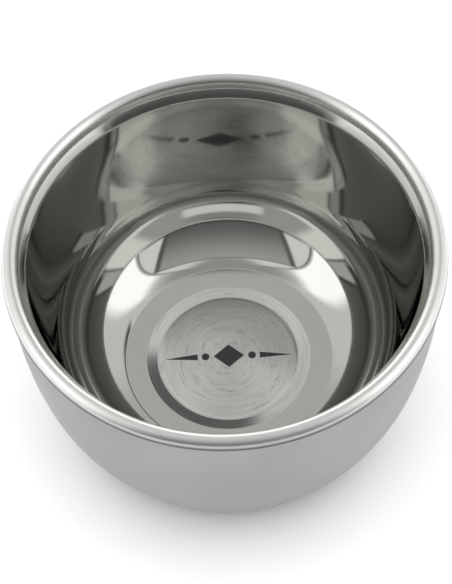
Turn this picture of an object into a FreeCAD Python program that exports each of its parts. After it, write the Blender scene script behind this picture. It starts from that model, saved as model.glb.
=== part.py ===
# Double-walled stainless steel shaving bowl.
#
# A mirror-polished inner bowl and a satin outer shell, both drawn from thin sheet, meet only at the
# rim. There the inner bowl's edge is curled over the shell's edge, and a ring of sealant inside the
# curl closes the air space between the two walls. A plain ornament is printed on the bowl's floor.
#
# Lengths are in millimetres. Z points up. The origin is the middle of the base, on the surface that
# the bowl stands on. Everything but the printed ornament is turned about the Z axis, so its outline
# is drawn in the XZ plane, where X is the radius.

import FreeCAD, Part
import math
import os

os.makedirs("parts", exist_ok=True)

# ---------------------------------------------------------------- driving dimensions

RIM_DIAMETER = 96.0
HEIGHT = 58.0
SHEET = 0.5                # thickness of both drawn sheets

# Rim: a round hollow bead, curled from the inner bowl's edge
BEAD_RADIUS = 1.8          # outside radius of the curl's cross-section
LEDGE_DEPTH = 4.6          # where the ledge under the bead meets the wall, below the rim
LEDGE_RADIUS = 43.0        # the bowl's radius there
LEDGE_LEAN = 40.0          # degrees that the ledge leans out from upright
LEDGE_FILLET = 0.8         # hollow between ledge and bead
LEDGE_ROUNDING = 1.5       # rounding between ledge and wall

# Inner bowl
WALL_TAPER = 9.5           # degrees that the wall leans out from upright
BOWL_ROUNDING = 19.0       # big curve between wall and floor
SHOULDER_RADIUS = 19.0     # outer edge of the floor's pressed disc
SHOULDER_HEIGHT = 11.2     # height of that edge above the base
SHOULDER_ROUNDING = 1.2
SHELF_RADIUS = 24.0        # outer edge of the shelf around the disc
SHELF_RISE = 3.5           # degrees that the shelf rises outwards
SHELF_ROUNDING = 2.0
FLOOR_RISE = 13.8          # degrees that the floor rises outwards where the shelf ends
VALLEY_RADIUS = 16.3       # lowest ring of the floor, inside the disc's edge
VALLEY_DROP = 0.31         # depth of that ring below the disc's edge
VALLEY_ROUNDING = 3.0
DOME_RISE = 0.70           # height of the floor's middle above the lowest ring
DOME_BREAK = 7.6           # radius where the tangents to the dome's middle and edge cross

# Outer shell: corners of its outline (radius, height, rounding), from under the bead to the foot
SHELL_RADIUS = 47.1        # outside radius under the bead
SHELL_HIP = (SHELL_RADIUS, 39.3, 131.0)
SHELL_FLANK = (43.0, 16.2, 67.5)
BASE_CORNER = (33.7, 0, 11.7)
FOOT_INNER_RADIUS = 25.8   # inner edge of the ring that the bowl stands on
RECESS_RADIUS = 24.4       # the base is pressed up inside this radius
RECESS_HEIGHT = 1.0
RECESS_ROUNDING = 1.2

# Printed ornament: a lozenge, two dots and two tapered rules on one line
INK = 0.05                 # thickness of the ink
LOZENGE_LENGTH = 7.0
LOZENGE_WIDTH = 6.0
DOT_RADIUS = 0.9
DOT_OFFSET = 5.4           # from the middle to each dot
RULE_START = 7.2           # from the middle to each rule's near end
RULE_LENGTH = 7.4
RULE_WIDTH = 1.5           # at its near end; the far end is a point

BEAD_CENTRE = (RIM_DIAMETER / 2 - BEAD_RADIUS, HEIGHT - BEAD_RADIUS)
DOME_TOP = SHOULDER_HEIGHT - VALLEY_DROP + DOME_RISE
SHORTEST_EDGE = 1e-6


# ---------------------------------------------------------------- outlines

def vec(r, z):
    return FreeCAD.Vector(r, 0, z)


def on_circle(centre, radius, degrees):
    angle = math.radians(degrees)
    return vec(centre[0] + radius * math.cos(angle), centre[1] + radius * math.sin(angle))


def rounded(corners):
    """Edges through corners (r, z, rounding), each inner corner rounded by a tangent arc."""
    edges = []
    start = vec(*corners[0][:2])
    for before, corner, after in zip(corners, corners[1:], corners[2:]):
        point = vec(*corner[:2])
        back = (vec(*before[:2]) - point).normalize()
        ahead = (vec(*after[:2]) - point).normalize()
        half_turn = (math.pi - back.getAngle(ahead)) / 2
        cut = corner[2] * math.tan(half_turn)
        arc_depth = corner[2] * (1 / math.cos(half_turn) - 1)
        arc_start, arc_end = point + back * cut, point + ahead * cut
        arc_middle = point + (back + ahead).normalize() * arc_depth
        if (arc_start - start).Length > SHORTEST_EDGE:
            edges.append(Part.LineSegment(start, arc_start).toShape())
        edges.append(Part.Arc(arc_start, arc_middle, arc_end).toShape())
        start = arc_end
    edges.append(Part.LineSegment(start, vec(*corners[-1][:2])).toShape())
    return edges


def turned_sheet(edges, thickness):
    """Solid of revolution of a sheet whose visible face follows the edges."""
    strip = Part.Wire(edges).makeOffset2D(thickness, fill=True, openResult=True)
    return strip.revolve(vec(0, 0), FreeCAD.Vector(0, 0, 1), 360)


def dome_corners():
    """Corners of the floor's middle: a spherical cap, then a gentle fall to the valley."""
    slope = math.atan2(DOME_RISE, VALLEY_RADIUS - DOME_BREAK)
    cap_radius = DOME_BREAK / math.tan(slope / 2)
    return [(0, DOME_TOP, 0), (DOME_BREAK, DOME_TOP, cap_radius)]


# ---------------------------------------------------------------- pieces

def rim_bead_edges():
    """From the wall's top: the ledge, the hollow under the bead, and the curl round to its cut edge."""
    lean = math.radians(LEDGE_LEAN)
    along = vec(math.sin(lean), math.cos(lean))
    inward = vec(-math.cos(lean), math.sin(lean))
    foot = vec(LEDGE_RADIUS, HEIGHT - LEDGE_DEPTH)
    to_bead = vec(*BEAD_CENTRE) - foot
    reach = BEAD_RADIUS + LEDGE_FILLET
    slip = math.sqrt(reach ** 2 - (LEDGE_FILLET - to_bead.dot(inward)) ** 2)
    ledge_end = foot + along * (to_bead.dot(along) - slip)
    hollow_centre = ledge_end + inward * LEDGE_FILLET
    towards = (hollow_centre - vec(*BEAD_CENTRE)).normalize()
    bead_start = vec(*BEAD_CENTRE) + towards * BEAD_RADIUS
    hollow_middle = hollow_centre - (towards + inward).normalize() * LEDGE_FILLET
    hollow = Part.Arc(ledge_end, hollow_middle, bead_start).toShape()
    bead_top = on_circle(BEAD_CENTRE, BEAD_RADIUS, 90)
    curl_end = on_circle(BEAD_CENTRE, BEAD_RADIUS, -curl_stop())
    inside = Part.Arc(bead_start, on_circle(BEAD_CENTRE, BEAD_RADIUS, 150), bead_top).toShape()
    outside = Part.Arc(bead_top, on_circle(BEAD_CENTRE, BEAD_RADIUS, 20), curl_end).toShape()
    return ledge_end, [hollow, inside, outside]


def curl_stop():
    """Degrees below level at which the curl's inside meets the shell's outside."""
    return math.degrees(math.acos((SHELL_RADIUS - BEAD_CENTRE[0]) / (BEAD_RADIUS - SHEET)))


def inner_bowl():
    ledge_end, bead = rim_bead_edges()
    rise = math.tan(math.radians(FLOOR_RISE))
    taper = math.tan(math.radians(WALL_TAPER))
    shelf_height = SHOULDER_HEIGHT + (SHELF_RADIUS - SHOULDER_RADIUS) * math.tan(math.radians(SHELF_RISE))
    wall_height = HEIGHT - LEDGE_DEPTH - shelf_height
    corner_run = (LEDGE_RADIUS - SHELF_RADIUS - wall_height * taper) / (1 - rise * taper)
    corner = (SHELF_RADIUS + corner_run, shelf_height + corner_run * rise, BOWL_ROUNDING)
    wall = rounded(dome_corners() + [
        (VALLEY_RADIUS, SHOULDER_HEIGHT - VALLEY_DROP, VALLEY_ROUNDING),
        (SHOULDER_RADIUS, SHOULDER_HEIGHT, SHOULDER_ROUNDING),
        (SHELF_RADIUS, shelf_height, SHELF_ROUNDING),
        corner,
        (LEDGE_RADIUS, HEIGHT - LEDGE_DEPTH, LEDGE_ROUNDING),
        (ledge_end.x, ledge_end.z, 0),
    ])
    return turned_sheet(wall + bead, -SHEET)


def outer_shell():
    """The shell's edge reaches up into the curl, as far as the curl's inside lets it."""
    edge_rise = math.sqrt((BEAD_RADIUS - SHEET) ** 2 - (SHELL_RADIUS - BEAD_CENTRE[0]) ** 2)
    outline = rounded([
        (SHELL_RADIUS, BEAD_CENTRE[1] + edge_rise, 0),
        SHELL_HIP,
        SHELL_FLANK,
        BASE_CORNER,
        (FOOT_INNER_RADIUS, 0, RECESS_ROUNDING),
        (RECESS_RADIUS, RECESS_HEIGHT, RECESS_ROUNDING),
        (0, RECESS_HEIGHT, 0),
    ])
    return turned_sheet(outline, -SHEET)


def rim_sealant():
    """The space between the curl's inside and the shell's edge, filled all round."""
    radius = BEAD_RADIUS - SHEET
    low, high = (on_circle(BEAD_CENTRE, radius, side * curl_stop()) for side in (-1, 1))
    bulge = Part.Arc(low, on_circle(BEAD_CENTRE, radius, 0), high).toShape()
    chord = Part.LineSegment(high, low).toShape()
    return Part.Face(Part.Wire([bulge, chord])).revolve(vec(0, 0), FreeCAD.Vector(0, 0, 1), 360)


def ornament_outlines():
    """Flat faces of the ornament, drawn on the plane Z = 0."""
    def polygon(points):
        return Part.Face(Part.makePolygon([FreeCAD.Vector(x, y, 0) for x, y in points + points[:1]]))

    half_length, half_width = LOZENGE_LENGTH / 2, LOZENGE_WIDTH / 2
    shapes = [polygon([(half_length, 0), (0, half_width), (-half_length, 0), (0, -half_width)])]
    for side in (-1, 1):
        dot = Part.makeCircle(DOT_RADIUS, FreeCAD.Vector(side * DOT_OFFSET, 0, 0))
        shapes.append(Part.Face(Part.Wire(dot)))
        near, far = side * RULE_START, side * (RULE_START + RULE_LENGTH)
        shapes.append(polygon([(near, RULE_WIDTH / 2), (near, -RULE_WIDTH / 2), (far, 0)]))
    return shapes


def floor_ornament():
    """A thin layer of ink that follows the domed floor."""
    film = turned_sheet(rounded(dome_corners() + [(VALLEY_RADIUS, DOME_TOP - DOME_RISE, 0)]), INK)
    up = FreeCAD.Vector(0, 0, 2 * HEIGHT)
    return Part.makeCompound([shape.extrude(up).common(film) for shape in ornament_outlines()])


# ---------------------------------------------------------------- output

PIECES = {
    "inner_bowl": inner_bowl,
    "outer_shell": outer_shell,
    "rim_sealant": rim_sealant,
    "floor_ornament": floor_ornament,
}

for name, make in PIECES.items():
    shape = make()
    shape.exportStep(f"parts/{name}.step")
    box = shape.optimalBoundingBox()
    print(f"{name}: valid {shape.isValid()}, {len(shape.Solids)} solids, {shape.Volume:.1f} mm3, "
          f"radius {box.XMax:.2f}, z {box.ZMin:.2f} to {box.ZMax:.2f}")
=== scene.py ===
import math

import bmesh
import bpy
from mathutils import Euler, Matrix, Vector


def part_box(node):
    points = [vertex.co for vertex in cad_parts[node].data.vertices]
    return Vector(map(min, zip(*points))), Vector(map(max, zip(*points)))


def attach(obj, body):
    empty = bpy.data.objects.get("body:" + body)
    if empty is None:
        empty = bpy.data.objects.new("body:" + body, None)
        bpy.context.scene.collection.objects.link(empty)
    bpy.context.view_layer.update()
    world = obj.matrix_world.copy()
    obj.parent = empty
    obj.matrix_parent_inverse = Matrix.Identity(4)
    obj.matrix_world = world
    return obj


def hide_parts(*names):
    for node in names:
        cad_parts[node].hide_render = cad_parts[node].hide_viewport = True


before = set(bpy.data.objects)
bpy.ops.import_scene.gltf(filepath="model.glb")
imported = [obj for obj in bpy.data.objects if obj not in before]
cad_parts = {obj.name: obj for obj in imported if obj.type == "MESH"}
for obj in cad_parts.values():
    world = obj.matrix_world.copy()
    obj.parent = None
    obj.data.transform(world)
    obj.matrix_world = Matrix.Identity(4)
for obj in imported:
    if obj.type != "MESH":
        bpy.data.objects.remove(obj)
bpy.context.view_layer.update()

# Looks of the double-walled steel shaving bowl: a mirror-polished inner bowl whose floor disc is
# ground in rings, a satin outer shell, the sealant in its rim and the ornament printed on its floor.
# Lengths are in metres, in the frame's own axes: Z up, the bowl standing on Z = 0 around the Z axis.

MM = 0.001

# ---------------------------------------------------------------- dimensions

bowl_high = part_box("inner_bowl")[1]
shell_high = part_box("outer_shell")[1]
ink_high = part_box("floor_ornament")[1]

RIM_RADIUS = bowl_high.x
HEIGHT = bowl_high.z
SHELL_RADIUS = shell_high.x
SHEET = 0.5 * MM

BEAD_RADIUS = 1.8 * MM
BEAD_CENTRE = Vector((RIM_RADIUS - BEAD_RADIUS, HEIGHT - BEAD_RADIUS))
LEDGE_FOOT = Vector((RIM_RADIUS - 5.0 * MM, HEIGHT - 4.6 * MM))
LEDGE_LEAN = math.radians(40)
LEDGE_FILLET = 0.8 * MM
LEDGE_ROUNDING = 1.5 * MM

WALL_TAPER = math.radians(9.5)
BOWL_ROUNDING = 19 * MM
SHOULDER = Vector((19 * MM, 11.2 * MM))
SHOULDER_ROUNDING = 1.2 * MM
SHELF_RISE = math.radians(3.5)
SHELF = SHOULDER + 5 * MM * Vector((1, math.tan(SHELF_RISE)))
SHELF_ROUNDING = 2 * MM
FLOOR_RISE = math.radians(13.8)
VALLEY = Vector((16.3 * MM, SHOULDER.y - 0.31 * MM))
VALLEY_ROUNDING = 3 * MM
DOME_TOP = VALLEY.y + 0.7 * MM
DOME_BREAK = 7.6 * MM

SHELL_HIP = (SHELL_RADIUS, 39.3 * MM, 131 * MM)
SHELL_FLANK = (43 * MM, 16.2 * MM, 67.5 * MM)
BASE_CORNER = (33.7 * MM, 0, 11.7 * MM)
FOOT_INNER_RADIUS = 25.8 * MM
RECESS_RADIUS = 24.4 * MM
RECESS_HEIGHT = 1 * MM
RECESS_ROUNDING = 1.2 * MM

INK = 0.05 * MM
LOZENGE_LENGTH = 7 * MM
LOZENGE_WIDTH = 6 * MM
DOT_RADIUS = 0.9 * MM
DOT_OFFSET = 5.4 * MM
RULE_START = 7.2 * MM
RULE_LENGTH = ink_high.x - RULE_START
RULE_WIDTH = 1.5 * MM

# Lower edge and fade height of the painted shadow on the shell's top, in the groove under the bead.
GROOVE_SHADE_LOW = BEAD_CENTRE.y - 1.9 * MM
GROOVE_SHADE_FADE = 1.1 * MM
DISC_FADE = (VALLEY.x - 1.5 * MM, VALLEY.x + 0.4 * MM)

TURN_STEPS = 288
ARC_STEP = math.radians(3)
FILM_COLUMNS = 24           # steps along each shape of the ornament
FILM_ROWS = 6               # steps across it, on either side of its middle line
WELD_DISTANCE = 0.0005 * MM
NO_LENGTH = 1e-9            # lengths up to this count as none


# ---------------------------------------------------------------- outlines
# An outline is a list of stretches. A stretch is a list of (point, normal) pairs in the plane of
# (radius, height), and its visible face is on the left of its direction of travel.

def left_of(direction):
    return Vector((-direction.y, direction.x)).normalized()


def straight(start, end):
    normal = left_of(end - start)
    return [(start, normal), (end, normal)]


def around(centre, radius, start, end):
    """An arc between two angles. Its visible face is its outside where the angle falls, and its inside
    where the angle grows."""
    steps = max(4, math.ceil(abs(end - start) / ARC_STEP))
    side = -1 if end > start else 1
    points = []
    for step in range(steps + 1):
        angle = start + (end - start) * step / steps
        outwards = Vector((math.cos(angle), math.sin(angle)))
        points.append((centre + outwards * radius, outwards * side))
    return points


def angle_of(vector):
    return math.atan2(vector.y, vector.x)


def nearest_turn(angle, reference):
    """The same direction as angle, at most half a turn from reference."""
    return reference + (angle - reference + math.pi) % (2 * math.pi) - math.pi


def rounded(corners):
    """Stretches through corners (r, z, rounding), each inner corner rounded by a tangent arc."""
    stretches = []
    start = Vector(corners[0][:2])
    for before, corner, after in zip(corners, corners[1:], corners[2:]):
        point = Vector(corner[:2])
        back = (Vector(before[:2]) - point).normalized()
        ahead = (Vector(after[:2]) - point).normalized()
        half_turn = (math.pi - back.angle(ahead)) / 2
        arc_start = point + back * corner[2] * math.tan(half_turn)
        arc_end = point + ahead * corner[2] * math.tan(half_turn)
        centre = point + (back + ahead).normalized() * corner[2] / math.cos(half_turn)
        if (arc_start - start).length > NO_LENGTH:
            stretches.append(straight(start, arc_start))
        first = angle_of(arc_start - centre)
        stretches.append(around(centre, corner[2], first, nearest_turn(angle_of(arc_end - centre), first)))
        start = arc_end
    stretches.append(straight(start, Vector(corners[-1][:2])))
    return stretches


def curl_stop():
    """Angle below level at which the curl's inside meets the shell's outside."""
    return math.acos((SHELL_RADIUS - BEAD_CENTRE.x) / (BEAD_RADIUS - SHEET))


def bowl_outline():
    cap_radius = DOME_BREAK / math.tan(math.atan2(DOME_TOP - VALLEY.y, VALLEY.x - DOME_BREAK) / 2)
    rise, taper = math.tan(FLOOR_RISE), math.tan(WALL_TAPER)
    corner_run = (LEDGE_FOOT.x - SHELF.x - (LEDGE_FOOT.y - SHELF.y) * taper) / (1 - rise * taper)

    along = Vector((math.sin(LEDGE_LEAN), math.cos(LEDGE_LEAN)))
    inward = left_of(along)
    to_bead = BEAD_CENTRE - LEDGE_FOOT
    reach = BEAD_RADIUS + LEDGE_FILLET
    slip = math.sqrt(reach ** 2 - (LEDGE_FILLET - to_bead.dot(inward)) ** 2)
    ledge_end = LEDGE_FOOT + along * (to_bead.dot(along) - slip)
    hollow_centre = ledge_end + inward * LEDGE_FILLET
    hollow_start = angle_of(-inward)
    hollow_end = nearest_turn(angle_of(BEAD_CENTRE - hollow_centre), hollow_start)
    bead_start = nearest_turn(angle_of(hollow_centre - BEAD_CENTRE), math.pi)

    return rounded([
        (0, DOME_TOP, 0),
        (DOME_BREAK, DOME_TOP, cap_radius),
        (*VALLEY, VALLEY_ROUNDING),
        (*SHOULDER, SHOULDER_ROUNDING),
        (*SHELF, SHELF_ROUNDING),
        (SHELF.x + corner_run, SHELF.y + corner_run * rise, BOWL_ROUNDING),
        (*LEDGE_FOOT, LEDGE_ROUNDING),
        (*ledge_end, 0),
    ]) + [
        around(hollow_centre, LEDGE_FILLET, hollow_start, hollow_end),
        around(BEAD_CENTRE, BEAD_RADIUS, bead_start, -curl_stop()),
    ]


def shell_outline():
    edge_rise = math.sqrt((BEAD_RADIUS - SHEET) ** 2 - (SHELL_RADIUS - BEAD_CENTRE.x) ** 2)
    return rounded([
        (SHELL_RADIUS, BEAD_CENTRE.y + edge_rise, 0),
        SHELL_HIP,
        SHELL_FLANK,
        BASE_CORNER,
        (FOOT_INNER_RADIUS, 0, RECESS_ROUNDING),
        (RECESS_RADIUS, RECESS_HEIGHT, RECESS_ROUNDING),
        (0, RECESS_HEIGHT, 0),
    ])


def sheet_section(stretches):
    """Both faces of a sheet whose visible face is the outline, joined at its cut edges off the axis."""
    hidden = [[(point - normal * SHEET, -normal) for point, normal in reversed(stretch)]
              for stretch in reversed(stretches)]
    section = stretches + [straight(stretches[-1][-1][0], hidden[0][0][0])] + hidden
    section.append(straight(hidden[-1][-1][0], stretches[0][0][0]))
    return [stretch for stretch in section if max(point.x for point, normal in stretch) > NO_LENGTH]


# ---------------------------------------------------------------- meshes

def piece(name, vertices, faces, node, material):
    mesh = bpy.data.meshes.new(name)
    mesh.from_pydata(vertices, [], faces)
    mesh.materials.append(material)
    made = bpy.data.objects.new(name, mesh)
    bpy.context.scene.collection.objects.link(made)
    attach(made, "root")
    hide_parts(node)
    return made


def turned(name, section, node, material):
    """Turns a closed section about the Z axis, with the outline's own normals on every face corner."""
    vertices, faces, corner_normals, rings = [], [], [], {}

    def ring(point):
        key = (round(point.x, 9), round(point.y, 9))
        if key not in rings:
            rings[key] = len(vertices)
            turns = range(TURN_STEPS) if point.x > NO_LENGTH else [0]
            for turn in turns:
                angle = 2 * math.pi * turn / TURN_STEPS
                vertices.append((point.x * math.cos(angle), point.x * math.sin(angle), point.y))
        return rings[key]

    for stretch in section:
        for (start, start_normal), (end, end_normal) in zip(stretch, stretch[1:]):
            first, second = ring(start), ring(end)
            for turn in range(TURN_STEPS):
                corners = []
                for base, point, normal, turns in (
                        (first, start, start_normal, (turn + 1, turn)),
                        (second, end, end_normal, (turn, turn + 1))):
                    on_axis = point.x <= NO_LENGTH
                    for step in turns[:1] if on_axis else turns:
                        angle = 2 * math.pi * (turn + 0.5 if on_axis else step) / TURN_STEPS
                        outwards = Vector((math.cos(angle), math.sin(angle), 0))
                        corners.append((base + (0 if on_axis else step % TURN_STEPS),
                                        outwards * normal.x + Vector((0, 0, normal.y))))
                faces.append([index for index, normal in corners])
                corner_normals += [normal for index, normal in corners]
    made = piece(name, vertices, faces, node, material)
    made.data.polygons.foreach_set("use_smooth", [True] * len(faces))
    made.data.normals_split_custom_set(corner_normals)
    return made


def floor_height(radius, stretches):
    """Height of the bowl's floor at a radius, read off its outline."""
    points = [point for stretch in stretches for point, normal in stretch]
    for start, end in zip(points, points[1:]):
        if start.x <= radius <= end.x and end.x > start.x:
            return start.y + (end.y - start.y) * (radius - start.x) / (end.x - start.x)
    raise ValueError("the ornament lies outside the floor")


def spindle(start, end, half_width, height_at):
    """Closed film between two x values, symmetric about the X axis and bent to the floor's dome."""
    vertices, faces, grid = [], [], {}
    for column in range(FILM_COLUMNS + 1):
        share = (1 - math.cos(math.pi * column / FILM_COLUMNS)) / 2
        x = start + (end - start) * share
        width = half_width(x)
        for row in range(-FILM_ROWS, FILM_ROWS + 1):
            y = width * row / FILM_ROWS
            height = height_at(math.hypot(x, y))
            for level, lift in enumerate((0, INK)):
                grid[column, row, level] = len(vertices)
                vertices.append((x, y, height + lift))
    for column in range(FILM_COLUMNS):
        for row in range(-FILM_ROWS, FILM_ROWS):
            for level in (0, 1):
                quad = [grid[column, row, level], grid[column + 1, row, level],
                        grid[column + 1, row + 1, level], grid[column, row + 1, level]]
                faces.append(quad if level else quad[::-1])
        for row, flip in ((-FILM_ROWS, False), (FILM_ROWS, True)):
            quad = [grid[column, row, 0], grid[column + 1, row, 0],
                    grid[column + 1, row, 1], grid[column, row, 1]]
            faces.append(quad[::-1] if flip else quad)
    for column, flip in ((0, True), (FILM_COLUMNS, False)):
        for row in range(-FILM_ROWS, FILM_ROWS):
            quad = [grid[column, row, 0], grid[column, row + 1, 0],
                    grid[column, row + 1, 1], grid[column, row, 1]]
            faces.append(quad[::-1] if flip else quad)
    return vertices, faces


def ornament(name, material):
    """A lozenge, two dots and two tapered rules on one line."""
    outline = bowl_outline()
    half = LOZENGE_LENGTH / 2
    far_end = RULE_START + RULE_LENGTH

    def height_at(radius):
        return floor_height(radius, outline)

    shapes = [(-half, half, lambda x: LOZENGE_WIDTH / 2 * (1 - abs(x) / half))]
    for side in (-1, 1):
        centre = side * DOT_OFFSET
        shapes.append((centre - DOT_RADIUS, centre + DOT_RADIUS,
                       lambda x, centre=centre: math.sqrt(max(0, DOT_RADIUS ** 2 - (x - centre) ** 2))))
        shapes.append((*sorted((side * RULE_START, side * far_end)),
                       lambda x: RULE_WIDTH / 2 * (far_end - abs(x)) / RULE_LENGTH))
    vertices, faces = [], []
    for start, end, half_width in shapes:
        more_vertices, more_faces = spindle(start, end, half_width, height_at)
        faces += [[index + len(vertices) for index in face] for face in more_faces]
        vertices += more_vertices
    made = piece(name, vertices, faces, "floor_ornament", material)
    welded = bmesh.new()
    welded.from_mesh(made.data)
    bmesh.ops.remove_doubles(welded, verts=welded.verts, dist=WELD_DISTANCE)
    welded.to_mesh(made.data)
    welded.free()
    return made


# ---------------------------------------------------------------- materials

class Nodes:
    """Short ways to add nodes to the node tree of a material or a world."""

    def __init__(self, owner):
        self.tree = owner.node_tree

    def add(self, kind, **settings):
        node = self.tree.nodes.new(kind)
        for key, value in settings.items():
            setattr(node, key, value)
        return node

    def put(self, socket, value):
        if isinstance(value, bpy.types.NodeSocket):
            self.tree.links.new(value, socket)
        else:
            socket.default_value = value

    def maths(self, operation, *values):
        node = self.add("ShaderNodeMath", operation=operation)
        for socket, value in zip(node.inputs, values):
            self.put(socket, value)
        return node.outputs[0]

    def mix(self, share, first, second):
        """A number that goes from first to second while share goes from 0 to 1."""
        return self.maths("ADD", self.maths("MULTIPLY", first, self.maths("SUBTRACT", 1.0, share)),
                          self.maths("MULTIPLY", share, second))

    def between(self, value, low, high, at_low=0.0, at_high=1.0):
        """A smooth step from at_low to at_high while value goes from low to high."""
        node = self.add("ShaderNodeMapRange", interpolation_type="SMOOTHSTEP")
        for socket, given in zip(node.inputs, (value, low, high, at_low, at_high)):
            self.put(socket, given)
        return node.outputs[0]

    def noise(self, vector, scale, detail=2.0, roughness=0.5):
        node = self.add("ShaderNodeTexNoise")
        self.put(node.inputs["Vector"], vector)
        self.put(node.inputs["Scale"], scale)
        self.put(node.inputs["Detail"], detail)
        self.put(node.inputs["Roughness"], roughness)
        return node.outputs["Fac"]

    def vector(self, x, y, z):
        node = self.add("ShaderNodeCombineXYZ")
        for socket, value in zip(node.inputs, (x, y, z)):
            self.put(socket, value)
        return node.outputs[0]

    def streaks(self, x, y, z, detail=3.0):
        """Noise over three values that carry their own scales, so that it stretches along one of them."""
        return self.noise(self.vector(x, y, z), 1.0, detail, 0.6)

    def blend(self, share, first, second):
        """A colour that goes from first to second while share goes from 0 to 1."""
        node = self.add("ShaderNodeMix", data_type="RGBA")
        self.put(node.inputs["Factor"], share)
        self.put(node.inputs["A"], first)
        self.put(node.inputs["B"], second)
        return node.outputs["Result"]

    def bump(self, height, distance, strength=1.0):
        node = self.add("ShaderNodeBump")
        self.put(node.inputs["Height"], height)
        self.put(node.inputs["Distance"], distance)
        self.put(node.inputs["Strength"], strength)
        return node.outputs[0]


class Finish(Nodes):
    """A new material with one Principled shader."""

    def __init__(self, name):
        self.material = bpy.data.materials.new(name)
        self.material.use_nodes = True
        super().__init__(self.material)
        self.shader = self.tree.nodes["Principled BSDF"]
        self.place = self.add("ShaderNodeTexCoord").outputs["Object"]

    def axes(self):
        """Height, distance from the bowl's axis and angle around it, in metres and radians."""
        parts = self.add("ShaderNodeSeparateXYZ")
        self.put(parts.inputs[0], self.place)
        x, y, z = parts.outputs
        square = self.maths("ADD", self.maths("MULTIPLY", x, x), self.maths("MULTIPLY", y, y))
        return z, self.maths("SQRT", square), self.maths("ARCTAN2", y, x)

    def turning_direction(self):
        """Direction around the axis, along which the metal was polished."""
        return self.add("ShaderNodeTangent", direction_type="RADIAL", axis="Z").outputs[0]

    def set(self, **values):
        for name, value in values.items():
            self.put(self.shader.inputs[name.replace("_", " ")], value)


def polished_steel():
    """Mirror-polished sheet, buffed around the axis. The rim's bead is brighter and duller than the wall,
    and its lip below the bead's middle carries painted shade, a dark grey, and is rougher there."""
    wall_colours = (0.54, 0.537, 0.518, 1), (0.57, 0.567, 0.548, 1)
    bead_colour, lip_shade_colour = (0.84, 0.84, 0.83, 1), (0.16, 0.16, 0.158, 1)
    made = Finish("polished_steel")
    z, radius, turn = made.axes()
    smears = made.noise(made.place, 60, 3.0)
    lines = made.streaks(made.maths("MULTIPLY", z, 2200), made.maths("MULTIPLY", turn, 1.5),
                         made.maths("MULTIPLY", radius, 1200))
    bead = made.between(radius, LEDGE_FOOT.x, BEAD_CENTRE.x - BEAD_RADIUS / 2)
    # Painted shade: the bead's outer lip, below its centre, is painted dark grey and made rougher.
    below = made.between(z, BEAD_CENTRE.y, BEAD_CENTRE.y + 0.7 * BEAD_RADIUS, 1.0, 0.0)
    outside = made.between(radius, BEAD_CENTRE.x, BEAD_CENTRE.x + 0.5 * BEAD_RADIUS)
    shaded_lip = made.maths("MULTIPLY", below, outside)
    wall_roughness = made.between(smears, 0.3, 0.75, 0.04, 0.075)
    bead_roughness = made.maths("ADD", made.between(smears, 0.3, 0.75, 0.32, 0.38),
                                made.maths("MULTIPLY", shaded_lip, 0.30))
    made.set(Metallic=1.0,
             Base_Color=made.blend(bead, made.blend(smears, *wall_colours),
                                   made.blend(shaded_lip, bead_colour, lip_shade_colour)),
             Roughness=made.mix(bead, wall_roughness, bead_roughness),
             Normal=made.bump(lines, 0.0004 * MM, 0.5), Anisotropic=0.3, Anisotropic_Rotation=0.25,
             Tangent=made.turning_direction())
    return made.material


def ground_steel():
    """The floor's disc, ground in rings: broad bands, fine scratches and some scores part way round."""
    clean_colours = (0.54, 0.545, 0.53, 1), (0.80, 0.805, 0.785, 1)
    score_colour = (0.33, 0.33, 0.32, 1)
    made = Finish("ground_steel")
    radius, turn = made.axes()[1:]
    middle = made.between(radius, *DISC_FADE, 1.0, 0.0)

    def rings(per_metre, per_turn, detail):
        return made.streaks(made.maths("MULTIPLY", radius, per_metre), made.maths("MULTIPLY", turn, per_turn),
                            per_turn, detail)

    bands = made.between(rings(900, 0.6, 2.0), 0.35, 0.65)
    scratches = rings(3200, 1.3, 3.0)
    scores = made.between(rings(1500, 2.2, 2.0), 0.56, 0.66)
    height = made.maths("ADD", scratches, made.maths("MULTIPLY", scores, 0.6))
    dull = made.maths("ADD", made.between(bands, 0, 1, 0.15, 0.21), made.maths("MULTIPLY", scores, 0.08))
    made.set(Metallic=1.0,
             Base_Color=made.blend(made.maths("MULTIPLY", scores, 0.3), made.blend(scratches, *clean_colours),
                                   score_colour),
             Roughness=made.maths("ADD", 0.07, made.maths("MULTIPLY", middle, dull)),
             Normal=made.bump(made.maths("MULTIPLY", height, middle), 0.004 * MM),
             Anisotropic=0.6, Anisotropic_Rotation=0.25, Tangent=made.turning_direction())
    return made.material


def satin_steel():
    """Sheet brushed around the axis to an even satin, with a painted shadow, near black, in the groove under
    the bead.
    """
    clean_colours = (0.34, 0.343, 0.337, 1), (0.39, 0.39, 0.386, 1)
    groove_shade_colour = (0.05, 0.05, 0.05, 1)
    made = Finish("satin_steel")
    z, radius, turn = made.axes()
    hairlines = made.streaks(made.maths("MULTIPLY", radius, 3000), made.maths("MULTIPLY", turn, 3.0),
                             made.maths("MULTIPLY", z, 5200))
    clouds = made.noise(made.place, 45, 3.0)
    # Painted shade: the shell's top turns near black just under the bead, a shadow line in the groove.
    groove_shade = made.between(z, GROOVE_SHADE_LOW, GROOVE_SHADE_LOW + GROOVE_SHADE_FADE)
    made.set(Metallic=1.0,
             Base_Color=made.blend(groove_shade, made.blend(hairlines, *clean_colours), groove_shade_colour),
             Roughness=made.maths("ADD", made.between(clouds, 0.3, 0.7, 0.46, 0.54),
                                  made.between(hairlines, 0.3, 0.7, -0.03, 0.03)),
             Normal=made.bump(hairlines, 0.0015 * MM), Anisotropic=0.5, Anisotropic_Rotation=0.25,
             Tangent=made.turning_direction())
    return made.material


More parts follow.
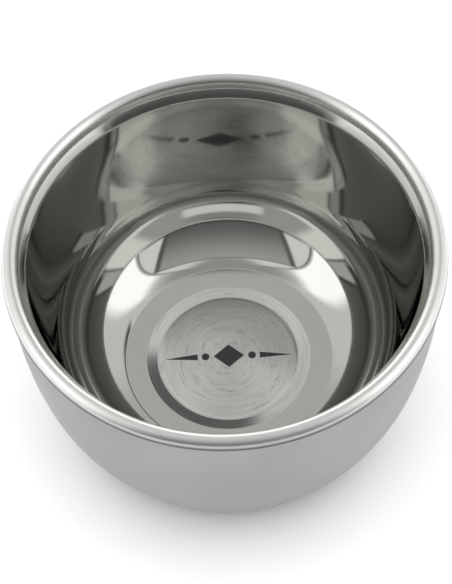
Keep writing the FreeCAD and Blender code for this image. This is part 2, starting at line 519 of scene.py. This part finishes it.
def ink():
    """Screen-printed ink, a little uneven in colour and gloss, with a fine grain."""
    made = Finish("ink")
    grain = made.noise(made.place, 4000, 2.0)
    patches = made.noise(made.place, 700, 2.0)
    colour = made.blend(made.between(grain, 0.35, 0.8), (0.008, 0.008, 0.009, 1), (0.03, 0.03, 0.03, 1))
    made.set(Base_Color=colour, Roughness=made.between(patches, 0.3, 0.7, 0.38, 0.55),
             Normal=made.bump(grain, 0.003 * MM))
    return made.material


def sealant():
    """Set sealant, slightly lumpy and patchy."""
    made = Finish("sealant")
    lumps = made.noise(made.place, 900, 3.0)
    made.set(Base_Color=made.blend(lumps, (0.46, 0.46, 0.44, 1), (0.58, 0.58, 0.56, 1)),
             Roughness=made.between(lumps, 0.3, 0.7, 0.55, 0.75), Normal=made.bump(lumps, 0.02 * MM))
    return made.material


# ---------------------------------------------------------------- the bowl

bowl = turned("polished_bowl", sheet_section(bowl_outline()), "inner_bowl",
              polished_steel())
bowl.data.materials.append(ground_steel())
for face in bowl.data.polygons:
    centre = face.center
    face.material_index = int(math.hypot(centre.x, centre.y) < SHOULDER.x and face.normal.z > 0)
turned("satin_shell", sheet_section(shell_outline()), "outer_shell", satin_steel())
ornament("printed_ornament", ink())
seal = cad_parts["rim_sealant"]
seal.data.materials.clear()
seal.data.materials.append(sealant())


# ---------------------------------------------------------------- studio

FLOOR_HALF = 3.0            # half the floor's width


def studio_floor():
    made = Finish("studio_floor")
    grain = made.noise(made.place, 3, 2.0)
    made.set(Base_Color=made.blend(grain, (0.90, 0.90, 0.90, 1), (0.93, 0.93, 0.93, 1)), Roughness=0.9)
    corners = [(x * FLOOR_HALF, y * FLOOR_HALF, 0) for x, y in ((-1, -1), (1, -1), (1, 1), (-1, 1))]
    mesh = bpy.data.meshes.new("studio_floor")
    mesh.from_pydata(corners, [], [(0, 1, 2, 3)])
    mesh.materials.append(made.material)
    floor = bpy.data.objects.new("studio_floor", mesh)
    bpy.context.scene.collection.objects.link(floor)


# The light tent, as panels painted one over the other. Directions are in degrees: aside is the angle
# around the bowl from straight behind it (0) to the camera's side (180), the same to the left and right.
# Each panel has its aside (from, to, change per degree of elevation), its elevation (from, to), its
# brightness, and the width over which each edge fades (aside from, to, elevation from, to).
TENT_WALLS = {
    "back wall": ((-1, 60, 0), (-91, 76), 0.64, (1, 20, 1, 8)),
    "side wall": ((55, 137, -0.52), (-91, 72), 0.86, (24, 1, 1, 12)),
    "front wall": ((137, 361, -0.52), (-91, 80), 0.98, (1, 1, 1, 8)),
    "softbox": ((98, 134, -0.52), (22, 66), 1.75, (14, 1, 6, 8)),
    "seam": ((135.5, 137.5, -0.52), (16, 78), 0.30, (1, 1, 4, 4)),
}
TENT_EDGES = {
    "backdrop": ((-1, 38, 0), (-91, 34), 1.60, (1, 8, 1, 4)),
    "table edge": ((125, 361, 0), (-91, 30), 0.10, (12, 1, 1, 4)),
}
# A slanting gap in the tent behind the bowl. It differs from left to right, so its aside keeps its sign.
BACK_OPENING = ((-117.5, -85, 2.3), (43, 60), 0.13, (6, 10, 2, 2))
ROOF = 0.44

# The tent's opening is a rectangle on a plane that leans over the bowl from the camera's side. Its half
# width and the heights of its lower and upper edge are for a plane one unit away. The room behind it is
# darker below. A dark hem runs round its sides and top.
OPENING_LEAN = math.radians(45)
OPENING_HALF_WIDTH = 0.585
OPENING_LOW, OPENING_HIGH = -0.30, 0.72
OPENING_EDGE = 0.02
GRAZING = 0.01              # directions within this share of the opening's plane miss it
HEM_WIDTH = 0.075
HEM_TOP_SHARE = 1 / 3       # width of the hem's top, as a share of its sides'
HEM_BRIGHTNESS = 0.14
ROOM_BELOW, ROOM_ABOVE = 0.16, 0.50


def tent_light():
    world = bpy.data.worlds.new("light_tent")
    bpy.context.scene.world = world
    world.use_nodes = True
    sky = Nodes(world)
    direction = sky.add("ShaderNodeSeparateXYZ")
    sky.put(direction.inputs[0], sky.add("ShaderNodeTexCoord").outputs["Generated"])
    x, y, z = direction.outputs
    azimuth = sky.maths("DEGREES", sky.maths("ARCTAN2", x, y))
    aside = sky.maths("ABSOLUTE", azimuth)
    elevation = sky.maths("DEGREES", sky.maths("ARCSINE", z))

    def panel(under, angle, across, height, brightness, soft):
        upright = sky.maths("SUBTRACT", angle, sky.maths("MULTIPLY", elevation, across[2]))
        share = 1.0
        for value, edge, reach in ((upright, across[0], soft[0] / 2), (upright, across[1], -soft[1] / 2),
                                   (elevation, height[0], soft[2] / 2), (elevation, height[1], -soft[3] / 2)):
            share = sky.maths("MULTIPLY", share, sky.between(value, edge - reach, edge + reach))
        return sky.mix(share, under, brightness)

    def along(y_part, z_part):
        return sky.maths("ADD", sky.maths("MULTIPLY", y, y_part), sky.maths("MULTIPLY", z, z_part))

    facing = along(-math.cos(OPENING_LEAN), math.sin(OPENING_LEAN))
    depth = sky.maths("MAXIMUM", facing, GRAZING)
    sideways = sky.maths("DIVIDE", sky.maths("ABSOLUTE", x), depth)
    upwards = sky.maths("DIVIDE", along(math.sin(OPENING_LEAN), math.cos(OPENING_LEAN)), depth)

    def opening(under, margin, brightness):
        share = sky.maths("GREATER_THAN", facing, GRAZING)
        for value, edge, reach in ((sideways, OPENING_HALF_WIDTH + margin, -OPENING_EDGE),
                                   (upwards, OPENING_LOW, OPENING_EDGE),
                                   (upwards, OPENING_HIGH + margin * HEM_TOP_SHARE, -OPENING_EDGE)):
            share = sky.maths("MULTIPLY", share, sky.between(value, edge - reach, edge + reach))
        return sky.mix(share, under, brightness)

    glow = ROOF
    for wall in TENT_WALLS.values():
        glow = panel(glow, aside, *wall)
    glow = opening(glow, HEM_WIDTH, HEM_BRIGHTNESS)
    glow = opening(glow, 0, sky.between(upwards, OPENING_LOW, OPENING_HIGH, ROOM_BELOW, ROOM_ABOVE))
    glow = panel(glow, azimuth, *BACK_OPENING)
    for edge in TENT_EDGES.values():
        glow = panel(glow, aside, *edge)
    background = sky.tree.nodes["Background"]
    sky.put(background.inputs["Strength"], glow)
    background.inputs["Color"].default_value = (1.0, 1.0, 0.985, 1)


# The camera at the photo's angle, and a lamp over the bowl, its power in watts
CAMERA_PLACE = Vector((0, -255.5 * MM, 453.4 * MM))
CAMERA_PITCH = math.radians(58.3)
CAMERA_ROLL = math.radians(-2.5)
LENS_MM = 135.6
SENSOR_MM = 36

TOP_LIGHT_HEIGHT = 0.9
TOP_LIGHT_SIZE = 1.4
TOP_LIGHT_POWER = 12.0


def top_light():
    """Fills the floor from above. Reflected rays miss it, so nothing mirrors it, as it would a real lamp."""
    light = bpy.data.lights.new("top_light", "AREA")
    light.size = TOP_LIGHT_SIZE
    light.energy = TOP_LIGHT_POWER
    made = bpy.data.objects.new("top_light", light)
    made.location.z = TOP_LIGHT_HEIGHT
    made.visible_glossy = False
    bpy.context.scene.collection.objects.link(made)


def camera():
    data = bpy.data.cameras.new("camera")
    data.lens = LENS_MM
    data.sensor_width = SENSOR_MM
    made = bpy.data.objects.new("camera", data)
    made.location = CAMERA_PLACE
    tilt = Euler((math.pi / 2 - CAMERA_PITCH, 0, 0)).to_matrix()
    roll = Euler((0, 0, CAMERA_ROLL)).to_matrix()
    made.rotation_euler = (tilt @ roll).to_euler()
    bpy.context.scene.collection.objects.link(made)
    bpy.context.scene.camera = made


studio_floor()
tent_light()
top_light()
camera()
bpy.context.scene.view_settings.view_transform = "Standard"
